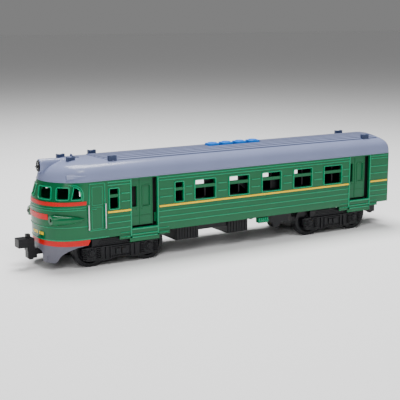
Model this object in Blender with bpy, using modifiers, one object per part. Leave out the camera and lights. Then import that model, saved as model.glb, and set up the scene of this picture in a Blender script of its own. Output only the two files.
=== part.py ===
"""Toy head car of an electric multiple-unit train, about 1:72.

The car stands on its wheels, nose towards -X, +Z up. Sizes and places are in millimetres, with X from the
middle of the body; the helpers turn them into metres, and at the end everything is moved so that the origin is
on the floor under the middle of the whole length, couplers included.
"""

import math

import bmesh
import bpy
from mathutils import Matrix, Vector

MM = 0.001
GAP = 0.3  # between two pieces that touch

# ---- driving dimensions -------------------------------------------------------------------------
HALF_WIDTH = 24.15
BODY_BOTTOM, GUTTER, CROWN = 18.8, 55.8, 68.4
REAR, NOSE_ROOT = 137.0, -110.0
BODY_WALL, ROOF_WALL = 1.6, 1.5
BELT = 43.0  # foot of the cab windows
# height, nose tip and plan exponent of the body, from the bottom edge to the gutter
BODY_LEVELS = [(BODY_BOTTOM, -136.2, 2.5), (36.0, -137.0, 2.5), (BELT, -136.4, 2.45), (GUTTER - GAP, -133.2, 1.95)]
# height, half width, nose tip, plan exponent and rear end of the roof, from the gutter to the crown
ROOF_LEVELS = [
    (GUTTER, 24.15, -133.2, 1.95, 137.6),
    (58.8, 23.9, -132.4, 1.95, 137.4),
    (61.6, 23.0, -130.6, 1.95, 137.0),
    (63.8, 21.2, -127.9, 1.95, 136.1),
    (65.4, 18.4, -124.6, 1.95, 135.0),
    (66.8, 13.6, -119.8, 1.95, 134.0),
    (67.8, 8.4, -114.0, 1.95, 133.3),
    (CROWN, 3.4, -106.0, 1.95, 132.9),
]
NOSE_STEPS = 24
REAR_RADIUS = 1.0

DOOR_CENTRES = {"front": -71.25, "rear": 108.5}
DOOR_HALF, DOOR_LOW, DOOR_HIGH = 9.2, 22.5, 54.7
DOOR_PANELS = {"front": (-84.3, -63.4), "rear": (95.1, 115.8)}  # slightly open, as at rest
DOOR_THICK = 1.2
SMALL_WINDOWS = [(-93.0, 3.6), (-45.6, 3.6)]
LARGE_WINDOWS = [(-25.5 + 27.15 * n, 8.7) for n in range(5)]
WINDOW_LOW, WINDOW_HIGH, WINDOW_FRAME = 36.0, 51.6, 1.1
BAR_LOW, BAR_HIGH = 44.0, 46.2
CAB_LOW, CAB_HIGH = 44.4, 51.8

WHEEL_RADIUS, WHEEL_THICK, WHEEL_FACE = 11.6, 5.4, 20.4
AXLE_RADIUS, AXLE_HALF = 1.2, 21.6
WHEELBASE = 41.0
BOGIES = {"front": -88.0, "rear": 85.0}
FRAME_FACE, FRAME_THICK = 22.4, 1.6
FLOOR_LOW, FLOOR_HIGH = 18.9, 20.7
FLOOR_INSET = 2.1

COUPLER_PIVOT, FRONT_TIP, REAR_TIP = 121.5, 149.6, 143.8

BUTTON_COUNT, BUTTON_PITCH, BUTTON_LENGTH, BUTTON_WIDTH = 4, 11.25, 8.8, 7.6
BUTTON_MIDDLE, BUTTON_TOP = 12.0, 70.3
BUTTON_CHAMFER = 1.2

GEAR_MODULE, GEAR_TEETH, PINION_TEETH = 0.46, 24, 12
PRESSURE_ANGLE = math.radians(25)
GEAR_CENTRES = GEAR_MODULE * (GEAR_TEETH + PINION_TEETH) / 2
FLYWHEEL_RISE = math.radians(20)

# ---- scene, collections and materials --------------------------------------------------------------


def clear_scene():
    for thing in list(bpy.data.objects):
        bpy.data.objects.remove(thing)


def new_collection(name):
    made = bpy.data.collections.new(name)
    bpy.context.scene.collection.children.link(made)
    return made


def material(name, colour, roughness, metallic=0.0):
    made = bpy.data.materials.new(name)
    made.use_nodes = True
    shader = made.node_tree.nodes["Principled BSDF"]
    shader.inputs["Base Color"].default_value = (*colour, 1)
    shader.inputs["Roughness"].default_value = roughness
    shader.inputs["Metallic"].default_value = metallic
    made.diffuse_color = (*colour, 1)
    return made


clear_scene()
PARTS = new_collection("toy_train_head_car")
CUTTERS = new_collection("cutters")
GREEN = material("green_abs", (0.0, 0.19, 0.07), 0.3)
GREY_ROOF = material("grey_roof_abs", (0.36, 0.38, 0.48), 0.35)
GREY_SKIRT = material("grey_skirt_abs", (0.22, 0.22, 0.23), 0.45)
BLACK = material("black_abs", (0.015, 0.015, 0.02), 0.5)
BLUE = material("blue_buttons_abs", (0.0, 0.3, 0.8), 0.3)
SILVER = material("silver_paint", (0.6, 0.6, 0.62), 0.35, 0.6)
STEEL = material("steel", (0.55, 0.55, 0.56), 0.3, 1.0)
CLEAR = material("clear_lens", (0.85, 0.88, 0.9), 0.08)
RUBBER = material("silicone_rubber", (0.25, 0.25, 0.26), 0.7)
BOARD = material("circuit_board", (0.02, 0.16, 0.05), 0.5)
WHITE = material("white_nylon", (0.75, 0.74, 0.7), 0.45)
BRASS = material("brass", (0.7, 0.5, 0.2), 0.3, 1.0)

# ---- solids ------------------------------------------------------------------------------------------


def add_object(name, mesh, finish=None):
    """A visible piece when it has a finish, and otherwise a helper that only cuts or joins."""
    made = bpy.data.objects.new(name, mesh)
    (PARTS if finish else CUTTERS).objects.link(made)
    if finish:
        mesh.materials.append(finish)
    else:
        made.hide_render = True
        made.display_type = "WIRE"
    return made


def from_bmesh(name, bm, finish=None, smooth=False):
    bmesh.ops.recalc_face_normals(bm, faces=bm.faces)
    mesh = bpy.data.meshes.new(name)
    bm.to_mesh(mesh)
    bm.free()
    if smooth:
        mesh.shade_smooth()
        mesh.set_sharp_from_angle(angle=math.radians(35))
    return add_object(name, mesh, finish)


def boxes(name, spans, finish=None):
    """One object of boxes, each given by its (low, high) corners."""
    bm = bmesh.new()
    for low, high in spans:
        low, high = Vector(low) * MM, Vector(high) * MM
        size = Matrix.Diagonal((*(high - low), 1))
        bmesh.ops.create_cube(bm, size=1, matrix=Matrix.Translation((low + high) / 2) @ size)
    return from_bmesh(name, bm, finish)


def cylinders(name, rods, finish=None, sides=24):
    """One object of round bars, each given by its two end centres and its radius at each end."""
    bm = bmesh.new()
    for start, end, radius_start, radius_end in rods:
        start, end = Vector(start) * MM, Vector(end) * MM
        turn = Vector((0, 0, 1)).rotation_difference(end - start).to_matrix().to_4x4()
        bmesh.ops.create_cone(
            bm,
            cap_ends=True,
            segments=sides,
            radius1=radius_start * MM,
            radius2=radius_end * MM,
            depth=(end - start).length,
            matrix=Matrix.Translation((start + end) / 2) @ turn,
        )
    return from_bmesh(name, bm, finish, smooth=True)


def prism(name, outline, low, high, place=None, finish=None):
    """An outline in a plane, filled and given thickness from low to high along the plane's normal."""
    bm = bmesh.new()
    face = bm.faces.new([bm.verts.new((x * MM, y * MM, low * MM)) for x, y in outline])
    grown = bmesh.ops.extrude_face_region(bm, geom=[face])["geom"]
    moved = [v for v in grown if isinstance(v, bmesh.types.BMVert)]
    bmesh.ops.translate(bm, verts=moved, vec=(0, 0, (high - low) * MM))
    if place:
        bmesh.ops.transform(bm, matrix=place, verts=bm.verts)
    return from_bmesh(name, bm, finish)


def side_plane(y=0.0):
    """Maps an outline drawn in X and Z, with its thickness along Y, to its place."""
    return Matrix.Translation((0, y * MM, 0)) @ Matrix(((1, 0, 0, 0), (0, 0, -1, 0), (0, 1, 0, 0), (0, 0, 0, 1)))


def front_plane(x, turn=0.0, y=0.0):
    """Maps an outline drawn in Y and Z, with its thickness along X, to a place turned about Z."""
    axes = Matrix(((0, 0, 1, 0), (1, 0, 0, 0), (0, 1, 0, 0), (0, 0, 0, 1)))
    return Matrix.Translation((x * MM, y * MM, 0)) @ Matrix.Rotation(turn, 4, "Z") @ axes


def boolean(target, tool, operation):
    added = target.modifiers.new(f"{operation.lower()}_{tool.name}", "BOOLEAN")
    added.operation = operation
    added.object = tool
    added.solver = "EXACT"


def cut(target, *tools):
    for tool in tools:
        boolean(target, tool, "DIFFERENCE")


def join(target, *tools):
    for tool in tools:
        boolean(target, tool, "UNION")


def both_sides(spans):
    """The boxes and their mirror images across the middle plane."""
    flipped = [((low[0], -high[1], low[2]), (high[0], -low[1], high[2])) for low, high in spans]
    return list(spans) + flipped


def stadium(width, height, middle, steps=8):
    """An upright slot shape with round ends, centred on y = 0 and on the height given."""
    radius, straight = width / 2, (height - width) / 2
    points = []
    for end in (1, -1):
        for i in range(steps + 1):
            angle = math.pi * i / steps
            points.append((end * radius * math.cos(angle), middle + end * (straight + radius * math.sin(angle))))
    return points


# ---- body shell and roof -----------------------------------------------------------------------------


def plan_ring(front, power, half_width=HALF_WIDTH, rear=REAR, inset=0.0):
    """The car's outline from above: a rounded nose, straight sides and a rear with small corners."""
    width, nose, back = half_width - inset, NOSE_ROOT - front - inset, rear - inset
    ring = []
    for i in range(NOSE_STEPS + 1):
        angle = math.pi * (i / NOSE_STEPS - 0.5)
        along = abs(math.cos(angle)) ** (2 / power) if 0 < i < NOSE_STEPS else 0.0
        across = math.copysign(abs(math.sin(angle)) ** (2 / power), angle)
        ring.append((NOSE_ROOT - nose * along, width * across))
    radius = min(REAR_RADIUS, width / 2)
    for side, start in ((1, 90), (-1, 0)):
        for i in range(4):
            angle = math.radians(start - 30 * i)
            x = back - radius + radius * math.cos(angle)
            ring.append((x, side * (width - radius) + radius * math.sin(angle)))
    return ring


def lofted_shell(name, rings, wall, finish, top_closed=False):
    """A skin through rings of points, each (height, ring), given its wall thickness inwards."""
    bm = bmesh.new()
    rows = [[bm.verts.new((x * MM, y * MM, z * MM)) for x, y in ring] for z, ring in rings]
    count = len(rows[0])
    for lower, upper in zip(rows, rows[1:]):
        for i in range(count):
            bm.faces.new((lower[i], lower[(i + 1) % count], upper[(i + 1) % count], upper[i]))
    if top_closed:
        bm.faces.new(rows[-1])
    shell = from_bmesh(name, bm, finish, smooth=True)
    skin = shell.modifiers.new("wall", "SOLIDIFY")
    skin.thickness = wall * MM
    skin.offset = -1
    skin.use_even_offset = True
    return shell


def window_spans():
    """Upper and lower panes of every side window, right through the car."""
    spans = []
    for centre, half in SMALL_WINDOWS + LARGE_WINDOWS:
        x0, x1 = centre - half + WINDOW_FRAME, centre + half - WINDOW_FRAME
        for z0, z1 in ((WINDOW_LOW + WINDOW_FRAME, BAR_LOW), (BAR_HIGH, WINDOW_HIGH - WINDOW_FRAME)):
            spans.append(((x0, -HALF_WIDTH - 1, z0), (x1, HALF_WIDTH + 1, z1)))
    for centre in DOOR_CENTRES.values():
        low, high = (centre - DOOR_HALF, -HALF_WIDTH - 1, DOOR_LOW), (centre + DOOR_HALF, HALF_WIDTH + 1, DOOR_HIGH)
        spans.append((low, high))
    return spans


def quarter_arch(x0, z0, width, height, steps=6):
    corner = [(x0, z0)]
    turns = [math.pi / 2 * i / steps for i in range(steps + 1)]
    return corner + [(x0 + width * math.cos(a), z0 + height * math.sin(a)) for a in turns]


def cab_window_cutters():
    """Two windscreens, two corner windows and two quarter-round side windows."""
    tools = []
    for side in (-1, 1):
        label = "left" if side > 0 else "right"
        screen = front_plane(-131.5, side * math.radians(-18), side * 8.2)
        corner = front_plane(-124.6, side * math.radians(-48), side * 19.0)
        for part, half, place in (("windscreen", 5.3, screen), ("corner_window", 3.6, corner)):
            pane = [(-half, CAB_LOW), (half, CAB_LOW), (half - 0.2, CAB_HIGH), (0.2 - half, CAB_HIGH)]
            tools.append(prism(f"{part}_{label}_cutter", pane, -4, 5, place))
        arch = quarter_arch(-120.4, CAB_LOW + 0.5, 4.6, 6.6)
        tools.append(prism(f"quarter_window_{label}_cutter", arch, -4, 4, side_plane(side * 22.5)))
    return tools


def step_spans():
    """The stepped valance under each passenger door."""
    spans = []
    inner = HALF_WIDTH - 1.2
    for centre, left in zip(DOOR_CENTRES.values(), (18.3, 17.4)):
        spans.append(((centre - left, inner, 16.3), (centre + 18.3, HALF_WIDTH, BODY_BOTTOM + 0.6)))
        spans.append(((centre - 11.0, inner, 13.7), (centre + 11.0, HALF_WIDTH, 16.9)))
    return both_sides(spans)


def lamp_fairings():
    """Teardrop fairing of the lower lamp on each cheek of the nose."""
    rods = []
    for side in (-1, 1):
        middle = (-128.0, side * 20.9, 32.5)
        rods.append(((-133.4, side * 18.0, 32.5), middle, 2.5, 3.1))
        rods.append((middle, (-114.5, side * 22.6, 32.4), 3.1, 0.6))
    return rods


def make_body_shell():
    rings = [(z, plan_ring(front, power)) for z, front, power in BODY_LEVELS]
    shell = lofted_shell("body_shell", rings, BODY_WALL, GREEN)
    for index, span in enumerate(step_spans()):
        join(shell, boxes(f"step_block_{index}", [span]))
    for index, rod in enumerate(lamp_fairings()):
        join(shell, cylinders(f"fairing_block_{index}", [rod], sides=12))
    cut(shell, boxes("side_openings_cutter", window_spans()), *cab_window_cutters())


def bracket_spans():
    """Six small lugs that stand on the roof."""
    spans = []
    for x0, x1, y, foot in ((-117.8, -112.4, 7.8, 66.2), (-92.4, -86.9, 15.3, 65.0), (116.6, 122.8, 15.3, 65.0)):
        spans.append(((x0, y - 1.3, foot), (x1, y + 1.3, 69.6)))
    return both_sides(spans)


def intake(side):
    """The narrow intake on one side of the roof, just behind the cab windows; it follows the plan of the nose."""
    label = "left" if side > 0 else "right"
    lug = prism(f"intake_{label}_block", plan_ring(-131.8, 1.95, 23.6), 58.4, 61.4)
    y0, y1 = sorted((side * 14.0, side * 26.0))
    boolean(lug, boxes(f"intake_{label}_limit", [((-124.6, y0, 57.0), (-108.0, y1, 63.0))]), "INTERSECT")
    return lug


ROOF_POSTS = (-98.0, 110.0)


def make_roof():
    rings = [(z, plan_ring(front, power, width, rear)) for z, width, front, power, rear in ROOF_LEVELS]
    roof = lofted_shell("roof", rings, ROOF_WALL, GREY_ROOF, top_closed=True)
    join(roof, prism("lamp_housing_block", stadium(6.4, 8.9, 64.25), -133.6, -115.0, front_plane(0)))
    for index, span in enumerate(bracket_spans()):
        join(roof, boxes(f"roof_lug_block_{index}", [span]))
    join(roof, intake(1), intake(-1))
    posts = [((x, 0, 21.2), (x, 0, 67.4), 2.4, 2.4) for x in ROOF_POSTS]
    for index, post in enumerate(posts):
        join(roof, cylinders(f"roof_post_block_{index}", [post], sides=12))
    slot_half = (BUTTON_PITCH * (BUTTON_COUNT - 1) + BUTTON_LENGTH) / 2 + GAP
    slot_low = (BUTTON_MIDDLE - slot_half, -BUTTON_WIDTH / 2 - GAP, 60.0)
    slot_high = (BUTTON_MIDDLE + slot_half, BUTTON_WIDTH / 2 + GAP, 72.0)
    cut(roof, boxes("button_slot_cutter", [(slot_low, slot_high)]))
    cut(roof, prism("lamp_socket_cutter", stadium(5.0, 7.5, 64.25), -135.0, -130.6, front_plane(0)))
    cut(roof, cylinders("led_bore_cutter", [((-131.0, 0, 65.4), (-124.5, 0, 65.4), 1.0, 1.0)], sides=12))
    pilots = [((x, 0, 20.0), (x, 0, 29.0), 1.5, 1.5) for x in ROOF_POSTS]
    cut(roof, cylinders("roof_pilot_cutter", pilots, sides=12))


# distance round the skirt from its middle, and the height of its lower edge there
SKIRT_EDGE = [
    (0.0, 12.6), (6.5, 11.4), (7.6, 9.4), (7.9, 4.6), (18.2, 4.6), (20.1, 6.4), (21.3, 8.5),
    (23.7, 10.6), (26.6, 12.2), (32.6, 14.3), (39.4, 15.2), (41.0, 17.6),
]  # fmt: skip
SKIRT_WALL = 1.1


def skirt_low(walk):
    for (w0, z0), (w1, z1) in zip(SKIRT_EDGE, SKIRT_EDGE[1:]):
        if walk <= w1:
            return z0 + (z1 - z0) * (walk - w0) / (w1 - w0)
    return SKIRT_EDGE[-1][1]


def make_front_skirt():
    """Grey wall that hangs under the nose, with a deep foot on each side of the coupler."""
    steps, top = 300, BODY_BOTTOM - GAP
    outline, walk = [], 0.0
    for i in range(steps + 1):
        angle = math.pi / 2 * i / steps
        along = math.cos(angle) ** 0.8 if i < steps else 0.0
        point = (NOSE_ROOT - 26.0 * along, (HALF_WIDTH - 0.15) * math.sin(angle) ** 0.8)
        walk += math.dist(point, outline[-1][0]) if outline else 0.0
        outline.append((point, walk))
    stops = sorted({0.0, 3.3, *(w for w, _ in SKIRT_EDGE[1:-1]), 10.5, 13.0, 15.6, 29.6, 36.0, outline[-1][1]})
    half = []
    for stop in stops:
        (x, y), walk = min(outline, key=lambda entry: abs(entry[1] - stop))
        half.append((x, y, skirt_low(walk)))
    bm = bmesh.new()
    rows = []
    for x, y, low in [(x, -y, low) for x, y, low in reversed(half[1:])] + half:
        rows.append([bm.verts.new((x * MM, y * MM, z * MM)) for z in (top, low)])
    for left, right in zip(rows, rows[1:]):
        bm.faces.new((left[0], right[0], right[1], left[1]))
    skirt = from_bmesh("front_skirt", bm, GREY_SKIRT, smooth=True)
    skin = skirt.modifiers.new("wall", "SOLIDIFY")
    skin.thickness = SKIRT_WALL * MM
    skin.offset = -1
    join(skirt, boxes("skirt_tie_block", [((-135.4, -6.0, 16.6), (-131.4, 6.0, top))]))


# ---- chassis and what it holds -------------------------------------------------------------------------


def wheel_wells():
    """Gaps in the floor that the wheels reach up into."""
    spans = []
    for centre in BOGIES.values():
        for x in (centre - WHEELBASE / 2, centre + WHEELBASE / 2):
            spans.append(((x - 13.6, 11.8 if centre < 0 else 13.2, 15.0), (x + 13.6, 26.0, 24.0)))
    return both_sides(spans)


BATTERY_X, BATTERY_Z, CELL_RADIUS, CELL_THICK = 3.35, 16.9, 5.8, 5.4
SPEAKER_X = -37.0


def underframe_spans():
    """Equipment boxes under the floor: speaker box, battery box, the bar between them and two side cabinets."""
    spans = [
        ((-45.8, -20.0, 9.5), (-28.2, 20.0, FLOOR_LOW + 0.5)),
        ((-29.0, -19.0, 14.6), (-4.0, 19.0, FLOOR_LOW + 0.5)),
        ((-5.0, -20.0, 9.5), (11.7, 20.0, FLOOR_LOW + 0.5)),
    ]
    for side in (-1, 1):
        y0, y1 = sorted((side * 12.0, side * 20.5))
        spans.append(((31.4, y0, 12.8), (46.6, y1, FLOOR_LOW + 0.5)))
    return spans


def blind_openings():
    """Openings of the black inner walls: part of each large window, where the rest is a blind, and one small window."""
    spans = []
    for centre, half in SMALL_WINDOWS[1:] + LARGE_WINDOWS:
        right = centre + 1.6 if half > 5 else centre + half - 1.0
        spans.append(((centre - half + 0.5, -21.5, 36.6), (right, 21.5, 51.2)))
    return spans


def make_chassis():
    """Floor with its underframe boxes, and the black inner walls that stand behind the windows."""
    ring = plan_ring(-136.0, 2.5, inset=FLOOR_INSET)
    chassis = prism("chassis", ring, FLOOR_LOW, FLOOR_HIGH, finish=BLACK)
    for index, span in enumerate(underframe_spans()):
        join(chassis, boxes(f"underframe_block_{index}", [span]))
    for index, side in enumerate((-1, 1)):
        tank = [((36.9, side * 12.5, 12.0), (36.9, side * 19.8, 12.0), 3.4, 3.4)]
        join(chassis, cylinders(f"tank_block_{index}", tank, sides=16))
    for index, side in enumerate((-1, 1)):
        boss = [((side * COUPLER_PIVOT, 0, 13.6), (side * COUPLER_PIVOT, 0, FLOOR_LOW + 0.5), 3.2, 3.2)]
        join(chassis, cylinders(f"coupler_boss_block_{index}", boss, sides=16))
    for index, side in enumerate((-1, 1)):
        y0, y1 = sorted((side * 19.6, side * 20.5))
        join(chassis, boxes(f"inner_wall_block_{index}", [((-53.0, y0, FLOOR_HIGH - 0.5), (91.3, y1, 54.5))]))
    cut(chassis, boxes("wheel_well_cutter", wheel_wells()), boxes("blind_cutter", blind_openings()))
    hollows = [
        ((-44.4, -18.6, 10.9), (-29.6, 18.6, 24.0)),  # speaker box, open upwards
        ((-3.6, -11.0, 8.0), (10.3, 11.0, 24.0)),  # battery box, open below for its cover
        ((56.6, -10.4, 15.0), (88.6, 7.6, 24.0)),  # friction motor
        ((1.0, 20.4, 15.0), (30.0, 26.0, 24.0)),  # thumb tab of the left doors
        ((1.0, -26.0, 15.0), (30.0, -20.4, 24.0)),  # thumb tab of the right doors
    ]
    cut(chassis, boxes("chassis_hollow_cutter", hollows))
    slots = [((SPEAKER_X - 5.2 + 2.4 * n, -6.0, 8.0), (SPEAKER_X - 4.0 + 2.4 * n, 6.0, 12.0)) for n in range(5)]
    cut(chassis, boxes("speaker_slot_cutter", slots))
    holes = [((side * COUPLER_PIVOT, 0, 10), (side * COUPLER_PIVOT, 0, 24), 1.8, 1.8) for side in (-1, 1)]
    holes += [((x, 0, 10), (x, 0, 24), 1.8, 1.8) for x in ROOF_POSTS]
    holes += [((BOGIES["front"], 0, 10), (BOGIES["front"], 0, 24), 1.8, 1.8)]
    holes += [((BOGIES["rear"] + 0.2, side * 14.0, 10), (BOGIES["rear"] + 0.2, side * 14.0, 24), 1.8, 1.8) for side in (-1, 1)]
    cut(chassis, cylinders("chassis_hole_cutter", holes, sides=12))


def screw(name, x, y, head_low, top, head_radius=2.6, shaft_radius=1.2):
    """Pan-head screw that points up; its head is 1.5 thick with a cross slot."""
    body = cylinders(name, [((x, y, head_low), (x, y, head_low + 1.5), head_radius, head_radius)], STEEL, sides=16)
    shaft = cylinders(f"{name}_shaft_block", [((x, y, head_low + 1.0), (x, y, top), shaft_radius, shaft_radius)], sides=12)
    join(body, shaft)
    arms = [((x - 1.6, y - 0.25, head_low - 1), (x + 1.6, y + 0.25, head_low + 0.6))]
    arms.append(((x - 0.25, y - 1.6, head_low - 1), (x + 0.25, y + 1.6, head_low + 0.6)))
    for index, arm in enumerate(arms):
        cut(body, boxes(f"{name}_slot_cutter_{index}", [arm]))


def make_batteries():
    for index in range(3):
        y0 = -8.4 + (CELL_THICK + GAP) * index
        rod = ((BATTERY_X, y0, BATTERY_Z), (BATTERY_X, y0 + CELL_THICK, BATTERY_Z), CELL_RADIUS, CELL_RADIUS)
        cylinders(f"button_cell_{index + 1}", [rod], STEEL)
    for name, y0, y1 in (("battery_contact_minus", -9.3, -8.8), ("battery_contact_plus", 9.0, 9.5)):
        boxes(name, [((BATTERY_X - 4, y0, 12.4), (BATTERY_X + 4, y1, 23.4))], BRASS)
    lid = ((-3.3, -10.7, 9.5), (10.0, 10.7, 10.6))
    cover = boxes("battery_cover", [lid], BLACK)
    cut(cover, cylinders("battery_cover_hole_cutter", [((BATTERY_X, 9.2, 8), (BATTERY_X, 9.2, 12), 1.1, 1.1)], sides=12))
    screw("battery_cover_screw", BATTERY_X, 9.2, 7.7, 12.0, 1.1 + 0.8, 0.8)


def make_speaker():
    speaker = cylinders("speaker", [((SPEAKER_X, 0, 11.3), (SPEAKER_X, 0, 14.3), 7.2, 7.2)], BLACK, sides=28)
    join(speaker, cylinders("speaker_magnet_block", [((SPEAKER_X, 0, 14.0), (SPEAKER_X, 0, 17.6), 4.6, 4.6)], sides=20))
    cut(speaker, cylinders("speaker_cone_cutter", [((SPEAKER_X, 0, 10.0), (SPEAKER_X, 0, 12.6), 6.2, 3.0)], sides=24))


def make_sound_board():
    chip = ((-19.5, -5.0, 22.9), (-11.5, 5.0, 24.6))
    capacitor = ((-24.5, 8.0, 22.9), (-19.5, 13.0, 28.0))
    board = boxes("sound_board", [((-27.0, -15.0, 21.4), (-6.5, 15.0, 23.0))], BOARD)
    for index, span in enumerate((chip, capacitor)):
        join(board, boxes(f"sound_board_block_{index}", [span]))


def make_head_lamp():
    """Bezel with its bar, main lens, lower lens and the light-emitting diode behind them."""
    outline = stadium(4.4, 6.9, 64.25)
    bezel = prism("headlight_bezel", outline, -134.2, -131.0, front_plane(0), BLACK)
    cut(bezel, prism("bezel_bore_cutter", stadium(3.2, 5.7, 64.25), -140.0, -131.8, front_plane(0)))
    cut(bezel, cylinders("bezel_led_cutter", [((-133.0, 0, 65.4), (-129.0, 0, 65.4), 1.0, 1.0)], sides=12))
    join(bezel, boxes("bezel_bar_block", [((-135.0, -1.9, 63.3), (-133.3, 1.9, 64.2))]))
    lens = cylinders("headlight_lens", [((-133.9, 0, 65.7), (-132.2, 0, 65.7), 1.2, 1.3)], CLEAR, sides=16)
    join(lens, cylinders("lower_lens_block", [((-133.9, 0, 62.3), (-132.2, 0, 62.3), 0.8, 0.85)], sides=12))
    join(lens, boxes("lens_strip_block", [((-132.9, -0.6, 61.9), (-132.2, 0.6, 66.2))]))
    cylinders("headlight_led", [((-131.9, 0, 65.4), (-125.5, 0, 65.4), 0.7, 0.7)], WHITE, sides=12)


# ---- sound buttons ---------------------------------------------------------------------------------------


def button_centres():
    first = BUTTON_MIDDLE - BUTTON_PITCH * (BUTTON_COUNT - 1) / 2
    return [first + BUTTON_PITCH * n for n in range(BUTTON_COUNT)]


def make_buttons():
    a, b, c = BUTTON_LENGTH / 2, BUTTON_WIDTH / 2, BUTTON_CHAMFER
    octagon = [(-a + c, -b), (a - c, -b), (a, -b + c), (a, b - c), (a - c, b), (-a + c, b), (-a, b - c), (-a, -b + c)]
    for index, x in enumerate(button_centres()):
        place = Matrix.Translation((x * MM, 0, 0))
        button = prism(f"sound_button_{index + 1}", octagon, 65.0, BUTTON_TOP - 0.5, place, BLUE)
        join(button, boxes(f"button_flange_block_{index}", [((x - a, -b - 1.4, 64.4), (x + a, b + 1.4, 65.4))]))
        dome = cylinders(f"button_dome_block_{index}", [((x, 0, BUTTON_TOP - 1), (x, 0, BUTTON_TOP), 3.4, 2.9)], sides=16)
        join(button, dome)
    pad_low, pad_high = button_centres()[0] - 5.5, button_centres()[-1] + 5.5
    pad = boxes("button_pad", [((pad_low, -8.0, 59.6), (pad_high, 8.0, 60.8))], RUBBER)
    for index, x in enumerate(button_centres()):
        join(pad, cylinders(f"pad_dome_block_{index}", [((x, 0, 60.4), (x, 0, 63.2), 3.2, 2.2)], sides=12))
    boxes("button_board", [((pad_low - 2, -9.5, 57.7), (pad_high + 2, 9.5, 59.3))], BOARD)


# ---- sliding doors -----------------------------------------------------------------------------------------


def make_doors():
    """On each side one bar carries both doors and the ribbed thumb tab under the body edge."""
    outer = HALF_WIDTH - BODY_WALL - 0.35
    inner = outer - DOOR_THICK
    for side, label in ((1, "left"), (-1, "right")):
        for place, (x0, x1) in DOOR_PANELS.items():
            y0, y1 = sorted((side * inner, side * outer))
            boxes(f"{place}_door_{label}", [((x0, y0, 23.8), (x1, y1, 55.1))], GREEN)
        start, end = DOOR_PANELS["front"][1] + GAP, DOOR_PANELS["rear"][0] - GAP
        y0, y1 = sorted((side * inner, side * outer))
        bar = boxes(f"door_bar_{label}", [((start, y0, 25.0), (end, y1, 31.0))], GREEN)
        join(bar, boxes(f"door_bar_leg_block_{label}", [((18.0, y0, 15.2), (26.4, y1, 26.0))]))
        y0, y1 = sorted((side * (inner + 0.4), side * (HALF_WIDTH + 0.15)))
        join(bar, boxes(f"door_bar_tab_block_{label}", [((17.9, y0, 14.9), (26.5, y1, 18.3))]))


# ---- bogies, wheels and motor ------------------------------------------------------------------------------


def side_frame_outline(centre):
    """Bogie side seen square on: deep axle-box ends, a waist and a raised top beam."""
    half = [(-27.2, 12.9), (-27.2, 8.3), (-24.0, 4.2), (-14.6, 3.6), (-7.2, 3.6), (-3.6, 4.6)]
    low = [(centre + x, z) for x, z in half] + [(centre - x, z) for x, z in reversed(half)]
    return low + [(centre + 20.5, 13.2), (centre - 20.5, 13.2)]


def make_bogie(place):
    centre = BOGIES[place]
    inner = FRAME_FACE - FRAME_THICK
    frame = prism(f"{place}_bogie", side_frame_outline(centre), inner, FRAME_FACE, side_plane(), BLACK)
    join(frame, prism(f"{place}_frame_block", side_frame_outline(centre), -FRAME_FACE, -inner, side_plane()))
    beams = both_sides([((centre - 20.0, inner, 12.0), (centre + 20.0, FRAME_FACE - 0.6, 17.8))])
    for index, span in enumerate(beams):
        join(frame, boxes(f"{place}_beam_block_{index}", [span]))
    if place == "front":
        join(frame, boxes("front_transom_block", [((centre - 7, -inner - 0.5, 8.6), (centre + 7, inner + 0.5, 14.4))]))
        join(frame, cylinders("front_boss_block", [((centre, 0, 14.0), (centre, 0, 18.5), 5.0, 5.0)], sides=20))
        cut(frame, cylinders("front_pivot_cutter", [((centre, 0, 4), (centre, 0, 20), 1.8, 1.8)], sides=16))
    else:
        join(frame, boxes("rear_transom_block", [((centre - 6, -inner - 0.5, 4.2), (centre + 6.4, inner + 0.5, 6.2))]))
        for index, side in enumerate((-1, 1)):
            post = ((centre + 0.2, side * 14.0, 5.5), (centre + 0.2, side * 14.0, 18.5), 3.2, 3.2)
            join(frame, cylinders(f"rear_post_block_{index}", [post], sides=16))
            hole = ((centre + 0.2, side * 14.0, 3), (centre + 0.2, side * 14.0, 20), 1.5, 1.5)
            cut(frame, cylinders(f"rear_post_cutter_{index}", [hole], sides=12))
    bearings = []
    for x in (centre - WHEELBASE / 2, centre + WHEELBASE / 2):
        reach = AXLE_HALF + GAP
        bearings.append(((x, -reach, WHEEL_RADIUS), (x, reach, WHEEL_RADIUS), AXLE_RADIUS + 0.15, AXLE_RADIUS + 0.15))
    cut(frame, cylinders(f"{place}_bearing_cutter", bearings, sides=16))


def make_wheelsets():
    number = 0
    for centre in BOGIES.values():
        for x in (centre - WHEELBASE / 2, centre + WHEELBASE / 2):
            number += 1
            rod = ((x, -AXLE_HALF, WHEEL_RADIUS), (x, AXLE_HALF, WHEEL_RADIUS), AXLE_RADIUS, AXLE_RADIUS)
            cylinders(f"axle_{number}", [rod], STEEL, sides=16)
            for side, label in ((1, "left"), (-1, "right")):
                make_wheel(f"wheel_{number}_{label}", x, side)


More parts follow.
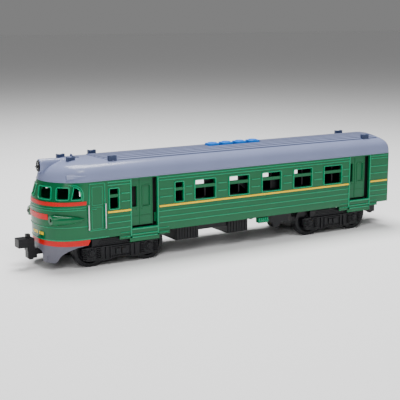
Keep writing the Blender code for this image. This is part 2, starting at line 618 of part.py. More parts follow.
def make_wheel(name, x, side):
    """Wheel turned about Y: chamfered tread, dished outer face and a bore that takes the axle."""
    bore, tread = AXLE_RADIUS + 0.12, WHEEL_RADIUS
    outer, inner = WHEEL_FACE, WHEEL_FACE - WHEEL_THICK
    profile = [(bore, outer - 0.2), (3.0, outer - 0.2), (3.2, outer - 1.2), (8.6, outer - 1.2), (9.0, outer)]
    profile += [(tread - 0.35, outer), (tread, outer - 0.35), (tread, inner + 0.3), (tread - 0.3, inner), (bore, inner)]
    bm = bmesh.new()
    loop = [bm.verts.new((radius * MM, side * y * MM, 0)) for radius, y in profile]
    edges = [bm.edges.new((loop[i], loop[(i + 1) % len(loop)])) for i in range(len(loop))]
    turn = Matrix.Rotation(math.pi / 2, 3, "Y")
    bmesh.ops.rotate(bm, verts=bm.verts, matrix=turn)
    bmesh.ops.spin(bm, geom=loop + edges, axis=(0, 1, 0), cent=(0, 0, 0), steps=28, angle=2 * math.pi)
    bmesh.ops.remove_doubles(bm, verts=bm.verts, dist=0.00001)
    wheel = from_bmesh(name, bm, BLACK, smooth=True)
    wheel.location = (x * MM, 0, WHEEL_RADIUS * MM)


def gear_outline(teeth, centre, phase):
    """Involute gear outline with a tooth pointing at the phase angle; teeth are thinned for backlash."""
    pitch = GEAR_MODULE * teeth / 2
    base, tip, root = pitch * math.cos(PRESSURE_ANGLE), pitch + 0.75 * GEAR_MODULE, pitch - 1.05 * GEAR_MODULE
    half_tooth = math.pi / (2 * teeth) - 0.07 / pitch
    start = math.tan(PRESSURE_ANGLE) - PRESSURE_ANGLE

    def half_angle(radius):
        turn = math.acos(min(1.0, base / max(radius, base)))
        return half_tooth + start - (math.tan(turn) - turn)

    radii = [root, (root + pitch) / 2, pitch, tip]
    points = []
    for tooth in range(teeth):
        middle = phase + 2 * math.pi * tooth / teeth
        rising = [(radius, middle - half_angle(radius)) for radius in radii]
        falling = [(radius, middle + half_angle(radius)) for radius in reversed(radii)]
        points += [(centre[0] + r * math.cos(a), centre[1] + r * math.sin(a)) for r, a in rising + falling]
    return points


def gear(name, teeth, centre, phase, y_low, y_high, finish=None):
    return prism(name, gear_outline(teeth, centre, phase), -y_high, -y_low, side_plane(), finish)


def make_motor():
    """Friction motor: the third axle drives a step-up train that spins a steel flywheel."""
    axle = (BOGIES["rear"] - WHEELBASE / 2, WHEEL_RADIUS)
    idler = (axle[0] + GEAR_CENTRES, axle[1])
    rise = (math.cos(FLYWHEEL_RISE) * GEAR_CENTRES, math.sin(FLYWHEEL_RISE) * GEAR_CENTRES)
    fly = (idler[0] + rise[0], idler[1] + rise[1])
    half_pitch = math.pi / PINION_TEETH

    drive = gear("drive_gear", GEAR_TEETH, axle, 0.0, 1.2, 3.8, WHITE)
    bore = ((axle[0], -9, axle[1]), (axle[0], 9, axle[1]), AXLE_RADIUS + 0.12, AXLE_RADIUS + 0.12)
    cut(drive, cylinders("drive_gear_bore_cutter", [bore], sides=16))

    step_up = gear("idler_gear", GEAR_TEETH, idler, FLYWHEEL_RISE, -3.0, -0.4, WHITE)
    join(step_up, gear("idler_pinion_block", PINION_TEETH, idler, math.pi + half_pitch, -0.8, 4.0))
    shaft = ((idler[0], -8.6, idler[1]), (idler[0], 5.8, idler[1]), 0.8, 0.8)
    join(step_up, cylinders("idler_shaft_block", [shaft], sides=12))

    flywheel = cylinders("flywheel", [((fly[0], -7.6, fly[1]), (fly[0], -4.2, fly[1]), 6.2, 6.2)], STEEL, sides=32)
    join(flywheel, gear("flywheel_pinion_block", PINION_TEETH, fly, FLYWHEEL_RISE + math.pi + half_pitch, -4.6, -0.2))
    shaft = ((fly[0], -8.6, fly[1]), (fly[0], 5.8, fly[1]), 0.8, 0.8)
    join(flywheel, cylinders("flywheel_shaft_block", [shaft], sides=12))
    make_motor_case(axle, idler, fly)


def make_motor_case(axle, idler, fly):
    outline = [(57.4, 4.6), (76.8, 4.6), (79.2, 7.3), (87.8, 7.3), (87.8, 21.8), (66.0, 21.8), (57.4, 18.4)]
    hollow = [(58.3, 5.4), (76.3, 5.4), (78.7, 8.1), (87.0, 8.1), (87.0, 21.0), (66.3, 21.0), (58.3, 17.8)]
    halves = (("motor_case_right", -9.4, -0.15, -8.4, 1.0), ("motor_case_left", 0.15, 6.6, -1.0, 5.6))
    for name, low, high, hollow_low, hollow_high in halves:
        case = prism(name, outline, -high, -low, side_plane(), BLACK)
        cut(case, prism(f"{name}_cutter", hollow, -hollow_high, -hollow_low, side_plane()))
        holes = [((axle[0], -12, axle[1]), (axle[0], 12, axle[1]), AXLE_RADIUS + 0.3, AXLE_RADIUS + 0.3)]
        for x, z in (idler, fly):
            holes.append(((x, -12, z), (x, 12, z), 0.95, 0.95))
        cut(case, cylinders(f"{name}_hole_cutter", holes, sides=16))


# ---- couplers and handrails --------------------------------------------------------------------------------


def make_coupler(place, side):
    """Automatic coupler: centre block, upright post, hanging block and shank; a head in front, a pocket behind."""

    def span(x0, x1, y, z0, z1):
        low, high = sorted((side * x0, side * x1))
        return ((low, -y, z0), (high, y, z1))

    coupler = boxes(f"{place}_coupler", [span(138.8, 143.6, 3.0, 11.0, 19.1)], BLACK)
    blocks = [
        span(143.0, FRONT_TIP, 3.6, 13.6, 19.4) if side < 0 else span(143.0, REAR_TIP, 4.2, 12.0, 19.1),
        span(140.9, 143.5, 1.6, 18.5, 21.7),
        span(137.2, 143.2, 2.6, 6.2, 12.0),
        span(139.2, 141.8, 1.4, 5.1, 7.0),
        span(COUPLER_PIVOT, 139.5, 2.2, 8.2, 11.2),
    ]
    for index, block in enumerate(blocks):
        join(coupler, boxes(f"{place}_coupler_block_{index}", [block]))
    if side > 0:
        cut(coupler, boxes("coupler_pocket_cutter", [span(141.0, 146.0, 2.0, 13.2, 22.0)]))
    x = side * COUPLER_PIVOT
    join(coupler, cylinders(f"{place}_coupler_eye_block", [((x, 0, 8.2), (x, 0, 13.2), 4.0, 4.0)], sides=20))
    cut(coupler, cylinders(f"{place}_coupler_hole_cutter", [((x, 0, 5), (x, 0, 16), 1.9, 1.9)], sides=16))
    pin = cylinders(f"{place}_coupler_pin", [((x, 0, 6.6), (x, 0, 7.9), 3.0, 3.0)], STEEL, sides=16)
    join(pin, cylinders(f"{place}_coupler_pin_block", [((x, 0, 7.2), (x, 0, 20.2), 1.4, 1.4)], sides=12))


def make_handrail(name, x, side):
    """Bent wire grab rail beside the cab door, standing just off the body wall."""
    foot, reach = HALF_WIDTH + 0.1, HALF_WIDTH + 1.3
    route = [(x, foot, 25.3), (x, reach, 25.3), (x, reach, 40.8), (x, foot, 40.8)]
    line = bpy.data.curves.new(name, "CURVE")
    line.dimensions = "3D"
    line.bevel_depth = 0.35 * MM
    line.bevel_resolution = 1
    line.use_fill_caps = True
    spline = line.splines.new("POLY")
    spline.points.add(len(route) - 1)
    for point, (px, py, pz) in zip(spline.points, route):
        point.co = (px * MM, side * py * MM, pz * MM, 1)
    rail = bpy.data.objects.new(name, line)
    PARTS.objects.link(rail)
    line.materials.append(SILVER)


def make_handrails():
    for side, label in ((1, "left"), (-1, "right")):
        make_handrail(f"front_handrail_{label}", -111.0, side)
        make_handrail(f"rear_handrail_{label}", -99.4, side)


def make_screws():
    for x, label in zip(ROOF_POSTS, ("front", "rear")):
        screw(f"{label}_body_screw", x, 0, 17.0, 28.5, 2.3)
    screw("front_bogie_screw", BOGIES["front"], 0, 6.8, 20.4, 3.2, 1.4)
    for side, label in ((1, "left"), (-1, "right")):
        screw(f"rear_bogie_screw_{label}", BOGIES["rear"] + 0.2, side * 14.0, 2.4, 20.4, 2.2, 1.1)


make_body_shell()
make_roof()
make_front_skirt()
make_chassis()
make_batteries()
make_speaker()
make_sound_board()
make_head_lamp()
make_buttons()
make_doors()
for bogie_place in BOGIES:
    make_bogie(bogie_place)
make_wheelsets()
make_motor()
make_coupler("front", -1)
make_coupler("rear", 1)
make_handrails()
make_screws()

for piece in bpy.data.objects:
    piece.location.x += (FRONT_TIP - REAR_TIP) / 2 * MM
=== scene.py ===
import math

import bmesh
import bpy
import numpy as np
from mathutils import Matrix, Vector


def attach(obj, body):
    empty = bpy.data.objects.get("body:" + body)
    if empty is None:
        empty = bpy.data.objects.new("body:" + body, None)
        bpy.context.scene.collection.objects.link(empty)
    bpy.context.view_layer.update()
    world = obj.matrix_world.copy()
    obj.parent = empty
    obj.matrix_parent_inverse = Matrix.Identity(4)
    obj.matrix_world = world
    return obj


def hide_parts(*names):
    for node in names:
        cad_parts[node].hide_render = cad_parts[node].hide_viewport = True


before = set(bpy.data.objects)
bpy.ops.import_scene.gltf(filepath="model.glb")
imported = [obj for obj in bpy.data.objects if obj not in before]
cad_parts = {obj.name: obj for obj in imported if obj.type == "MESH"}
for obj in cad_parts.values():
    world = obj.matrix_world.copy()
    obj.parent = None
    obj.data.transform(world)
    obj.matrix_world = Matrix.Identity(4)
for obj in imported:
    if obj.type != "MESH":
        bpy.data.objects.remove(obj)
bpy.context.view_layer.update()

# Toy head car of an electric commuter train, about 1:72.
# Sizes are millimetres; X counts from the middle of the body, with the nose at -X.
MM = 0.001
SHIFT = 2.9  # from the middle of the body to the middle of the whole length
SIDES = ((1, "left"), (-1, "right"))
SHARP = math.radians(38)  # a steeper edge than this is shaded sharp
BODY_WALL, ROOF_WALL = 1.6, 1.4

# ---- finishes ------------------------------------------------------------------------------------


def srgb(code):
    channels = [int(code[i : i + 2], 16) / 255 for i in (1, 3, 5)]
    return tuple(c / 12.92 if c <= 0.04045 else ((c + 0.055) / 1.055) ** 2.4 for c in channels) + (1,)


def node(tree, kind, links=(), **settings):
    """Adds a node; settings are properties or input values by name, and links are (input, socket) pairs."""
    made = tree.nodes.new(kind)
    for key, value in settings.items():
        label = key.replace("_", " ")
        if hasattr(made, key):
            setattr(made, key, value)
        else:
            made.inputs[label].default_value = value
    for key, socket in links:
        tree.links.new(socket, made.inputs[key])
    return made


def finish(name, colour, rough, tint=0.06, grain=0.6, bump=0.003, metal=0.0, ior=1.5, extra=None):
    """Finish whose colour drifts a little and whose sheen is broken by handling; grain is in millimetres."""
    made = bpy.data.materials.new(name)
    made.use_nodes = True
    tree = made.node_tree
    tree.nodes.clear()
    base = srgb(colour)
    place = node(tree, "ShaderNodeTexCoord").outputs["Object"]
    cloud = node(tree, "ShaderNodeTexNoise", [("Vector", place)], Scale=1 / (18 * MM), Detail=3.0)
    speck = node(tree, "ShaderNodeTexNoise", [("Vector", place)], Scale=1 / (grain * MM), Detail=2.0)
    rubbed = {"Scale": 1 / (3.5 * MM), "Detail": 5.0, "Roughness": 0.7}
    rub = node(tree, "ShaderNodeTexNoise", [("Vector", place)], **rubbed)
    shade = node(tree, "ShaderNodeMapRange", [("Value", cloud.outputs["Fac"])])
    for key, value in (("From Min", 0.3), ("From Max", 0.7), ("To Min", 1 - tint), ("To Max", 1 + tint)):
        shade.inputs[key].default_value = value
    tone = node(tree, "ShaderNodeHueSaturation", [("Value", shade.outputs["Result"])])
    tone.inputs["Color"].default_value = base
    sheen = node(tree, "ShaderNodeMapRange", [("Value", rub.outputs["Fac"])])
    reach = (("From Min", 0.35), ("From Max", 0.75), ("To Min", rough * 0.92), ("To Max", rough * 1.12))
    for key, value in reach:
        sheen.inputs[key].default_value = value
    relief = node(tree, "ShaderNodeBump", [("Height", speck.outputs["Fac"])], Strength=bump * 5)
    relief.inputs["Distance"].default_value = 0.1 * MM
    links = [("Base Color", tone.outputs["Color"]), ("Roughness", sheen.outputs["Result"])]
    links.append(("Normal", relief.outputs["Normal"]))
    shader = node(tree, "ShaderNodeBsdfPrincipled", links, Metallic=metal, IOR=ior)
    shader.inputs["Specular IOR Level"].default_value = 0.5 if metal else 0.3
    for key, value in (extra or {}).items():
        shader.inputs[key].default_value = value
    node(tree, "ShaderNodeOutputMaterial", [("Surface", shader.outputs["BSDF"])])
    return made


# Lighter copy of the body green: painted highlight on the ribs, frames, treads and grips that catch the
# light.
HIGHLIGHT_GREEN = finish("body green lightened as painted highlight, moulded ABS", "#008C60", 0.22, tint=0.05)
GREEN = finish("body green, moulded ABS", "#005C36", 0.22, tint=0.03)
ROOF_GREY = finish("roof grey, moulded ABS", "#7E86A6", 0.2, tint=0.03)
# Dark grey of the roof lugs, also used for the painted shade in the groove between the roof ribs.
LUG_GREY_AND_GROOVE_SHADE = finish("roof lug grey and painted groove shade, moulded ABS", "#34405E", 0.35, tint=0.04)
SKIRT_GREY = finish("skirt grey, moulded ABS", "#63636F", 0.4, tint=0.04)
BLACK = finish("underframe black, moulded ABS", "#0D0D12", 0.42, tint=0.1, bump=0.04)
# Black for painted shade: the dark inside of the car behind the windows and inside the marker lamp sockets.
SHADE_BLACK = finish("painted shade, black", "#08080B", 0.7, tint=0.1)
BLUE = finish("button blue, moulded ABS", "#007AE4", 0.3, tint=0.03)
RED_PRINT = finish("stripe red, pad-printed enamel", "#C80000", 0.35, tint=0.03, bump=0.03)
YELLOW_PRINT = finish("stripe yellow, pad-printed enamel", "#FFD000", 0.35, tint=0.03, bump=0.03)
SILVER = finish("handrail silver, painted steel wire", "#C9CACF", 0.3, metal=0.7, tint=0.04)
STEEL = finish("bright steel", "#B9BABD", 0.28, metal=1.0, tint=0.04)
BRASS = finish("contact strip, rolled brass", "#C79A4B", 0.3, metal=1.0, tint=0.06)
CLEAR = {"Transmission Weight": 0.9}
LENS = finish("lamp lens, clear polycarbonate", "#E6EEF2", 0.06, ior=1.58, tint=0.01, extra=CLEAR)
SILICONE = finish("button pad, silicone rubber", "#8C8C8E", 0.75, tint=0.05)
BOARD = finish("circuit board, epoxy laminate", "#1B5A33", 0.4, tint=0.1)
NYLON = finish("gears, natural nylon", "#E4E1D5", 0.45, tint=0.03)

# ---- making pieces -------------------------------------------------------------------------------


def dress(obj, material, body="car", smooth=True):
    """Gives a piece its finish, lets it ride on its CAD body and moves it into the shared frame."""
    obj.data.materials.clear()
    obj.data.materials.append(material)
    if smooth:
        obj.data.shade_smooth()
        obj.data.set_sharp_from_angle(angle=SHARP)
    obj.location.x += SHIFT * MM
    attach(obj, body)
    return obj


def object_of(name, bm):
    bmesh.ops.recalc_face_normals(bm, faces=bm.faces)
    mesh = bpy.data.meshes.new(name)
    bm.to_mesh(mesh)
    bm.free()
    made = bpy.data.objects.new(name, mesh)
    bpy.context.scene.collection.objects.link(made)
    return made


def bevel(obj, width, segments=2, angle=35):
    round_off = obj.modifiers.new("edges", "BEVEL")
    round_off.width = width * MM
    round_off.segments = segments
    round_off.limit_method = "ANGLE"
    round_off.angle_limit = math.radians(angle)
    return obj


def add_box(bm, low, high):
    low, high = Vector(low) * MM, Vector(high) * MM
    scale = Matrix.Diagonal((*(high - low), 1))
    bmesh.ops.create_cube(bm, size=1, matrix=Matrix.Translation((low + high) / 2) @ scale)


def add_rod(bm, start, end, radius, radius_end=None, sides=24):
    start, end = Vector(start) * MM, Vector(end) * MM
    turn = Vector((0, 0, 1)).rotation_difference(end - start).to_matrix().to_4x4()
    middle = Matrix.Translation((start + end) / 2) @ turn
    tip = radius if radius_end is None else radius_end
    ends = {"radius1": radius * MM, "radius2": tip * MM, "depth": (end - start).length}
    bmesh.ops.create_cone(bm, cap_ends=True, segments=sides, matrix=middle, **ends)


def boxes(name, spans, material, body="car", edge=0.0):
    bm = bmesh.new()
    for low, high in spans:
        add_box(bm, low, high)
    made = object_of(name, bm)
    if edge:
        bevel(made, edge)
    return dress(made, material, body)


def prism(bm, outline, place, low, high):
    """Adds an outline (u, v) swept from low to high; place maps (u, v, w) to a point in millimetres."""
    rows = [[bm.verts.new(Vector(place(u, v, w)) * MM) for u, v in outline] for w in (low, high)]
    count = len(outline)
    bm.faces.new(rows[0])
    bm.faces.new(rows[1])
    for i in range(count):
        j = (i + 1) % count
        bm.faces.new((rows[0][i], rows[0][j], rows[1][j], rows[1][i]))


def mirrored(spans):
    flipped = [((low[0], -high[1], low[2]), (high[0], -low[1], high[2])) for low, high in spans]
    return list(spans) + flipped


def carve(target, tool, operation="DIFFERENCE"):
    tool.hide_render = True
    tool.hide_viewport = True
    step = target.modifiers.new(operation.lower(), "BOOLEAN")
    step.operation = operation
    step.object = tool
    step.solver = "EXACT"


def apply_all(obj, tools=()):
    """Fixes the modifiers into the mesh and throws the cutting shapes away."""
    bpy.context.view_layer.update()
    graph = bpy.context.evaluated_depsgraph_get()
    mesh = bpy.data.meshes.new_from_object(obj.evaluated_get(graph))
    obj.modifiers.clear()
    obj.data = mesh
    for tool in tools:
        bpy.data.objects.remove(tool)
    return obj


# ---- the skin of the body ------------------------------------------------------------------------

HALF, NOSE_ROOT, REAR = 24.15, -110.0, 137.0
LOW = 18.8
# height, x of the tip of the nose and power of the nose's outline
LEVELS = np.array([(18.8, -136.2, 2.5), (36.0, -137.0, 2.5), (43.0, -136.4, 2.45), (55.8, -133.2, 1.95)])
TURNS = np.linspace(0, math.pi / 2, 241)


def plan_at(z):
    return np.interp(z, LEVELS[:, 0], LEVELS[:, 1]), np.interp(z, LEVELS[:, 0], LEVELS[:, 2])


def plan_point(turn, z):
    """Outline point of the nose at a height: turn 0 is its tip, a quarter turn is where the side starts."""
    tip, power = plan_at(z)
    along = max(math.cos(turn), 0.0) ** (2 / power)
    return NOSE_ROOT - (NOSE_ROOT - tip) * along, HALF * max(math.sin(turn), 0.0) ** (2 / power)


REFERENCE = np.array([plan_point(t, 47.0) for t in TURNS])
WALK = np.concatenate([[0], np.cumsum(np.hypot(*np.diff(REFERENCE, axis=0).T))])
NOSE_WALK = WALK[-1]


def walk_to(x=None, y=None):
    """Distance round the outline from the tip of the nose to this x (on the side) or y (in front)."""
    if y is not None:
        return float(np.interp(y, REFERENCE[:, 1], WALK))
    if x >= NOSE_ROOT:
        return NOSE_WALK + x - NOSE_ROOT
    return float(np.interp(x, REFERENCE[:, 0], WALK))


def skin(q, z, out=0.0):
    """Point at q round from the tip of the nose (below 0 on the right), at height z, out from the skin."""
    side, walk = math.copysign(1, q), abs(q)
    if walk >= NOSE_WALK:
        return (NOSE_ROOT + walk - NOSE_WALK, side * (HALF + out), z)
    turn = float(np.interp(walk, WALK, TURNS))
    x, y = plan_point(turn, z)
    before, after = plan_point(max(turn - 0.02, 0.0), z), plan_point(min(turn + 0.02, math.pi / 2), z)
    dx, dy = after[0] - before[0], after[1] - before[1]
    size = math.hypot(dx, dy) or 1.0
    return (x - out * dy / size, side * (y + out * dx / size), z)


def rounded(q0, q1, z0, z1, radius, steps=5):
    """Rounded rectangle as a closed path in (q, z)."""
    path = []
    for cq, cz, start in ((q1, z1, 0), (q0, z1, 90), (q0, z0, 180), (q1, z0, 270)):
        for i in range(steps + 1):
            a = math.radians(start + 90 * i / steps)
            inset_q = cq - radius if cq == q1 else cq + radius
            inset_z = cz - radius if cz == z1 else cz + radius
            path.append((inset_q + radius * math.cos(a), inset_z + radius * math.sin(a)))
    return path


def dense(path, closed, step=1.2):
    """Adds points so that long straight runs bend round the nose."""
    points = []
    pairs = list(zip(path, path[1:] + path[:1])) if closed else list(zip(path, path[1:]))
    for (q0, z0), (q1, z1) in pairs:
        bends = min(abs(q0), abs(q1)) < NOSE_WALK
        count = max(1, math.ceil(math.hypot(q1 - q0, z1 - z0) / step)) if bends else 1
        points += [(q0 + (q1 - q0) * i / count, z0 + (z1 - z0) * i / count) for i in range(count)]
    return points if closed else points + [path[-1]]


def ridge(bm, path, width, height, closed=False, foot=0.25, top=0.6, surface=skin):
    """Raised line on the skin along a path in (q, z), with sloping sides."""
    path = dense(path, closed)
    count = len(path)
    rows = []
    for i, (q, z) in enumerate(path):
        a = path[i - 1] if closed or i else path[i]
        b = path[(i + 1) % count] if closed or i + 1 < count else path[i]
        dq, dz = b[0] - a[0], b[1] - a[1]
        size = math.hypot(dq, dz) or 1.0
        across = (-dz / size, dq / size)
        row = []
        for off, out in ((-0.5, -foot), (-0.5 * top, height), (0.5 * top, height), (0.5, -foot)):
            shift = off * width
            row.append(bm.verts.new(Vector(surface(q + across[0] * shift, z + across[1] * shift, out)) * MM))
        rows.append(row)
    for i in range(count if closed else count - 1):
        a, b = rows[i], rows[(i + 1) % count]
        for k in range(3):
            bm.faces.new((a[k], a[k + 1], b[k + 1], b[k]))
    if not closed:
        bm.faces.new(rows[0])
        bm.faces.new(rows[-1][::-1])


def cutter_through(path, low, high):
    """Closed solid under a path on the skin, from low to high along the face's normal."""
    bm = bmesh.new()
    prism(bm, dense(path, True), skin, low, high)
    return object_of("cutter", bm)


DOORS = {"front": (-80.4, -62.1), "rear": (99.4, 117.6)}
DOOR_LOW, DOOR_HIGH = 22.5, 54.6
WINDOW_LOW, WINDOW_HIGH = 36.0, 50.6
WINDOW_PITCH, WINDOW_HALF = 27.15, 8.7
FIRST_CENTRE = -25.5
WINDOW_CENTRES = [FIRST_CENTRE + WINDOW_PITCH * n for n in range(5)]
WINDOWS = [(-96.6, -89.4), (-49.0, -42.0)] + [(x - WINDOW_HALF, x + WINDOW_HALF) for x in WINDOW_CENTRES]


def side_path(x0, x1, z0, z1, radius, side):
    path = rounded(walk_to(x0), walk_to(x1), z0, z1, radius)
    return [(side * q, z) for q, z in path]


def quarter(side, grow=0.0):
    """Quarter-round side window of the cab."""
    q0, q1, z0, top = 29.2 - grow, 34.5 + grow, 45.3 - grow, 52.2 + grow
    turns = np.linspace(0, math.pi / 2, 9)
    arc = [(q0 + (q1 - q0) * math.cos(a), z0 + (top - z0) * math.sin(a)) for a in turns]
    return [(side * q, z) for q, z in arc + [(q0, z0)]]


def pane(side, q0, q1, grow=0.0, slant=1.25):
    """Windscreen or corner window, leaning back with the nose; q0 and q1 are its edges at the top."""
    z0, z1 = 45.4 - grow, 52.0 + grow
    path = rounded(q0 - grow, q1 + grow, z0, z1, 0.9 + grow / 2)
    return [(side * (q + slant * (z1 - z) / (z1 - z0)), z) for q, z in path]


PANES = ((2.9, 13.9), (18.3, 25.4))


def make_body():
    """Green shell with a real wall: straight sides and a rounded nose that leans back at the top."""
    bm = bmesh.new()
    heights = [18.8, 24, 30, 36, 39.5, 43, 46, 49, 52, 54, 55.5]
    turns = np.linspace(0, NOSE_WALK, 34)
    rings = []
    for z in heights:
        half = [skin(q, z) for q in turns] + [(REAR - 1, HALF, z)]
        corner = [(REAR - 1 + math.sin(a), HALF - 1 + math.cos(a), z) for a in np.linspace(0.4, 1.571, 4)]
        left = half + corner
        right = [(x, -y, h) for x, y, h in reversed(left[1:])]
        rings.append([bm.verts.new(Vector(p) * MM) for p in left + right])
    for lower, upper in zip(rings, rings[1:]):
        for i in range(len(lower)):
            j = (i + 1) % len(lower)
            bm.faces.new((lower[i], lower[j], upper[j], upper[i]))
    body = object_of("body_shell", bm)
    wall = body.modifiers.new("wall", "SOLIDIFY")
    wall.thickness = BODY_WALL * MM
    wall.offset = -1
    tools = []
    for side in (1, -1):
        for x0, x1 in WINDOWS:
            wide = x1 - x0 > 10
            middle, rim = ((44.4, 46.5), 1.0) if wide else ((44.2, 46.1), 0.6)
            for z0, z1 in ((WINDOW_LOW + 1.0, middle[0]), (middle[1], WINDOW_HIGH - 1.0)):
                tools.append(cutter_through(side_path(x0 + rim, x1 - rim, z0, z1, 0.4, side), -3, 2))
        for x0, x1 in DOORS.values():
            tools.append(cutter_through(side_path(x0, x1, DOOR_LOW, DOOR_HIGH, 0.3, side), -3, 2))
        for q0, q1 in PANES:
            tools.append(cutter_through(pane(side, q0, q1), -2.6, 2))
        tools.append(cutter_through(quarter(side), -2.6, 2))
    for tool in tools:
        carve(body, tool)
    apply_all(body, tools)
    dress(body, GREEN)
    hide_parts("body_shell")
    return body


def make_side_relief():
    """Ribs and frames moulded on the green sides and nose, and the outlines on the end wall."""
    bm = bmesh.new()
    q = walk_to
    segments = [(-97.5, -81.0), (-60.6, 98.2), (118.9, 135.4)]
    for side in (1, -1):
        def line(x0, x1, z, width=0.9, height=0.42, z1=None):
            ridge(bm, [(side * q(x0), z), (side * q(x1), z if z1 is None else z1)], width, height)

        for z in (53.9, 52.1):
            for x0, x1 in segments:
                line(x0, x1, z)
        for z in (31.6, 27.8, 24.0):
            for x0, x1 in segments:
                line(x0, x1, z)
        gaps = [(-88.0, -81.8), (-60.0, -50.6), (-40.6, -35.8), (118.9, 135.2), (92.6, 98.0)]
        gaps += [(x + 10.2, x + 17.0) for x in WINDOW_CENTRES[:4]]
        for x0, x1 in gaps:
            for z in (46.2, 41.0):
                line(x0, x1, z)
        for x0, x1 in WINDOWS:
            rim = 0.5 if x1 - x0 > 10 else 0.1
            frame_path = side_path(x0 + rim, x1 - rim, WINDOW_LOW + 0.5, WINDOW_HIGH - 0.5, 0.8, side)
            ridge(bm, frame_path, 1.0, 0.55, True)
            bar = 45.45 if x1 - x0 > 10 else 45.05
            line(x0 + 1.0, x1 - 1.0, bar, 1.9, -0.15)
        for x0, x1 in DOORS.values():
            for x in (x0 - 0.7, x1 + 0.7):
                ridge(bm, [(side * q(x), 17.5), (side * q(x), 54.9)], 1.2, 0.4)
        for q0, q1 in PANES:
            ridge(bm, pane(side, q0, q1, 0.5), 1.0, 0.5, True)
        ridge(bm, quarter(side, 0.5), 1.0, 0.5, True)
        ridge(bm, side_path(-110.2, -99.5, 24.3, 54.0, 0.4, side), 0.7, 0.35, True)
        ridge(bm, side_path(-108.3, -101.2, 40.4, 52.0, 0.3, side), 0.45, 0.22, True)
        ridge(bm, side_path(-108.6, -101.4, 25.3, 39.0, 0.3, side), 0.45, 0.22, True)
        line(-108.4, -105.6, 38.0, 0.7, 0.6)
        hood = [(-114.1, 43.6), (-113.9, 46.5), (-114.7, 49.3)]
        hood += [(-116.6, 52.0), (-119.6, 53.6), (-124.5, 53.9)]
        ridge(bm, [(side * q(x), z) for x, z in hood], 0.8, 0.35)
        for z, end in ((39.6, -112.0), (38.2, -112.0), (27.5, -111.4)):
            ridge(bm, [(0, z), (side * q(end), z)], 0.7, 0.3)
        ridge(bm, [(0, 19.3), (side * q(-97.0), 19.3)], 0.9, 0.22)

    def on_end(y, z, out):
        return (REAR + out, y, z)

    for y0, y1, z0, z1 in ((-8, 8, 23.5, 53), (-5.4, 5.4, 38, 50), (-20.6, -12, 37, 50), (12, 20.6, 37, 50)):
        ridge(bm, rounded(y0, y1, z0, z1, 0.8), 0.9, 0.4, True, surface=on_end)
    made = object_of("side_relief", bm)
    # The relief is in the lighter green: painted highlight on its raised edges.
    dress(made, HIGHLIGHT_GREEN)


# inner y, reach, and lower and upper height of each tread
TREADS = ((22.6, 0.8, 21.5, 22.6), (23.3, 0.75, 18.2, 19.0), (23.3, 0.6, 16.3, 17.1))


def make_steps():
    """Stepped valance under each door: lobes, the wider middle, and the treads and sill that stand out."""
    valance, treads = [], []
    ends = (((-89.4, 16.2), (-52.7, 16.3)), ((90.0, 15.6), (126.4, 16.6)))
    for (x0, x1), lobes in zip(DOORS.values(), ends):
        (left, left_low), (right, right_low) = lobes
        valance.append(((left, 23.2, left_low), (x0, HALF, LOW + 0.5)))
        valance.append(((x1, 23.2, right_low), (right, HALF, LOW + 0.5)))
        valance.append(((x0 - 1.6, 23.2, 13.7), (x1 + 1.6, HALF, LOW + 0.4)))
        for inner, reach, z0, z1 in TREADS:
            treads.append(((x0 - 0.2, inner, z0), (x1 + 0.2, HALF + reach, z1)))
        for a, b in ((left + 0.8, x0 - 1.4), (x1 + 1.4, right - 0.8)):
            treads += [((a, 23.5, z), (b, HALF + 0.5, z + 0.5)) for z in (20.4, 17.5)]
    # Treads and sills are in the lighter green: painted highlight on their ledges.
    for name, spans, material in (("door_steps", valance, GREEN), ("door_treads", treads, HIGHLIGHT_GREEN)):
        boxes(name, mirrored(spans), material, edge=0.18)


def make_stripes():
    """Pad-printed bands: three red ones round the nose and a yellow line down each side."""
    red, yellow = bmesh.new(), bmesh.new()
    for side in (1, -1):
        ridge(red, [(0, 42.3), (side * walk_to(-111.9), 42.3)], 2.4, 0.36, foot=0.1, top=0.92)
        ridge(red, [(0, 34.0), (side * walk_to(y=13.4), 34.0)], 3.7, 0.3, foot=0.1, top=0.95)
        for x0, x1 in ((-97.5, -81.2), (-60.4, 98.0), (119.0, 135.2)):
            line = [(side * walk_to(x), 34.95) for x in (x0, x1)]
            ridge(yellow, line, 1.35, 0.5, foot=0.1, top=0.7)
    for start, length in ((3.4, 1.5), (1.4, 1.5), (-0.6, 1.7), (-4.4, 1.1), (-6.1, 1.1), (-7.8, 1.1)):
        ridge(yellow, [(start, 22.9), (start - length, 22.9)], 2.0, 0.08, foot=0.1, top=1.0)
    for name, bm, material in (("red_bands", red, RED_PRINT), ("yellow_lines", yellow, YELLOW_PRINT)):
        dress(object_of(name, bm), material)


def make_lamp_fairings():
    """Teardrop fairing of the marker lamp on each cheek, with a black disc in front that paints the shade
    inside its round socket.
    """
    for side, label in SIDES:
        bm = bmesh.new()
        rows = []
        for t in np.linspace(0, 1, 15):
            radius = 3.35 * (1 - t**2.2) ** 0.8 if t else 2.8
            start, end = Vector((-134.1, side * 17.2, 32.6)), Vector((-113.4, side * 24.0, 32.5))
            centre = start.lerp(end, t)
            centre.y += side * (1.1 + 1.1 * math.sin(math.pi * t))
            ring = []
            for a in np.linspace(0, 2 * math.pi, 24, endpoint=False):
                away = Vector((side * 0.12 * math.cos(a), math.cos(a), math.sin(a))) * max(radius, 0.05)
                ring.append(bm.verts.new((centre + Vector((away.x, away.y * (1 - 0.35 * t), away.z))) * MM))
            rows.append(ring)
        for a, b in zip(rows, rows[1:]):
            for i in range(24):
                bm.faces.new((a[i], a[(i + 1) % 24], b[(i + 1) % 24], b[i]))
        bm.faces.new(rows[0])
        bm.faces.new(rows[-1])
        dress(object_of(f"marker_lamp_fairing_{label}", bm), GREEN)
        bm = bmesh.new()
        # Black disc: painted shade in the socket.
        add_rod(bm, (-134.35, side * 18.2, 32.6), (-133.9, side * 18.35, 32.6), 1.1)
        dress(object_of(f"marker_lamp_socket_{label}", bm), SHADE_BLACK)


# ---- roof ----------------------------------------------------------------------------------------

